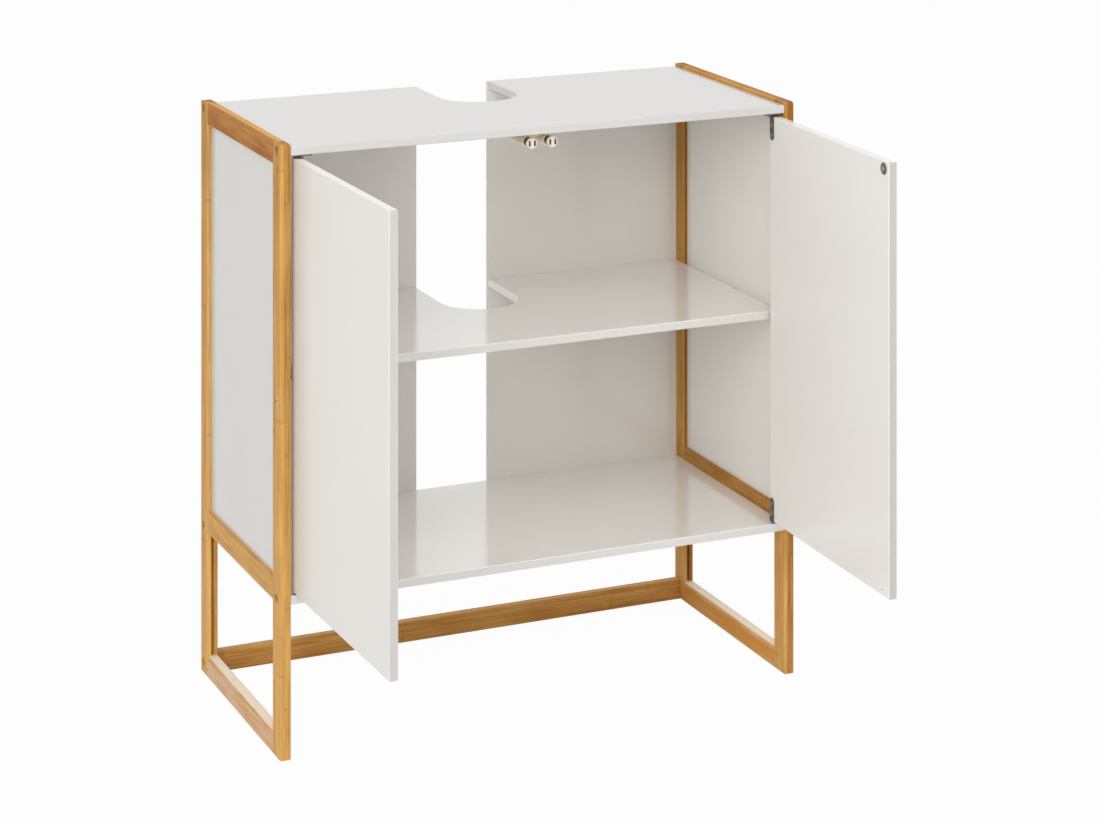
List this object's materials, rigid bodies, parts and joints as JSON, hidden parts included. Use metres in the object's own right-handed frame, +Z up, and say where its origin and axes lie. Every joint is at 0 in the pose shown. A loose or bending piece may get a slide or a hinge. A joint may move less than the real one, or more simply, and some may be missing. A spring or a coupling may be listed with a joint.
{
  "type": "sink base cabinet",
  "caption": "Free-standing base cabinet for a wash basin: grooved bamboo side frames, white boards with a U-shaped drain notch, inset doors on pivot hinges and a sprung magnetic push latch.",
  "frame": {"origin": "middle of the footprint of the cabinet with its doors open as pictured, on the floor", "axes": "+X to the right as one faces the cabinet, +Y towards the wall behind it, +Z up"},
  "size_m": [0.6, 0.5645, 0.64],
  "materials": {
    "bamboo": "clear satin lacquer on laminated bamboo strips",
    "white_board": "white satin lacquer on fibreboard",
    "dowel_wood": "raw beech",
    "steel": "nickel-plated steel",
    "cream_plastic": "moulded cream plastic",
    "dark_plastic": "dark moulded plastic",
    "magnet": "ferrite magnet"
  },
  "bodies": {
    "root": {"left_front_stile": "bamboo", "left_rear_stile": "bamboo", "left_top_rail": "bamboo", "left_mid_rail": "bamboo", "left_foot_rail": "bamboo", "left_side_panel": "white_board", "left_back_panel": "white_board", "left_hinge_plate": "steel", "left_latch_spring": "steel", "right_front_stile": "bamboo", "right_rear_stile": "bamboo", "right_top_rail": "bamboo", "right_mid_rail": "bamboo", "right_foot_rail": "bamboo", "right_side_panel": "white_board", "right_back_panel": "white_board", "right_hinge_plate": "steel", "right_latch_spring": "steel", "top_board": "white_board", "shelf": "white_board", "bottom_board": "white_board", "rear_stretcher": "bamboo", "board_dowels": "dowel_wood", "frame_screws": "steel", "stile_bolts": "steel", "shelf_pins": "steel", "back_panel_screws": "steel", "hinge_plate_screws": "steel", "pivot_bushes": "steel", "latch_screws": "steel", "latch_housing": "cream_plastic"},
    "left_door": {"left_door": "white_board", "left_top_hinge_leaf": "steel", "left_bottom_hinge_leaf": "steel", "left_hinge_pins": "steel", "left_hinge_screws": "steel", "left_strike_plate": "steel", "left_strike_screw": "steel"},
    "left_plunger": {"left_plunger": "dark_plastic", "left_plunger_head": "cream_plastic", "left_pole_plates": "steel", "left_magnet": "magnet"},
    "right_door": {"right_door": "white_board", "right_top_hinge_leaf": "steel", "right_bottom_hinge_leaf": "steel", "right_hinge_pins": "steel", "right_hinge_screws": "steel", "right_strike_plate": "steel", "right_strike_screw": "steel"},
    "right_plunger": {"right_plunger": "dark_plastic", "right_plunger_head": "cream_plastic", "right_pole_plates": "steel", "right_magnet": "magnet"}
  },
  "joints": [
    {"name": "left_door_hinge", "type": "hinge", "parent": "root", "child": "left_door", "pos_m": [-0.281, -0.00224, 0.39825], "axis": [0, 0, -1], "range_deg": [-89, 26]},
    {"name": "right_door_hinge", "type": "hinge", "parent": "root", "child": "right_door", "pos_m": [0.281, -0.00224, 0.39825], "axis": [0, 0, 1], "range_deg": [-88.6, 26.4]},
    {"name": "left_plunger_slide", "type": "slide", "parent": "root", "child": "left_plunger", "axis": [0, 1, 0], "range_m": [0, 0.006], "stiffness_N_per_m": 250, "springref_m": -0.006, "deforming": ["left_latch_spring"]},
    {"name": "right_plunger_slide", "type": "slide", "parent": "root", "child": "right_plunger", "axis": [0, 1, 0], "range_m": [0, 0.006], "stiffness_N_per_m": 250, "springref_m": -0.006, "deforming": ["right_latch_spring"]}
  ]
}
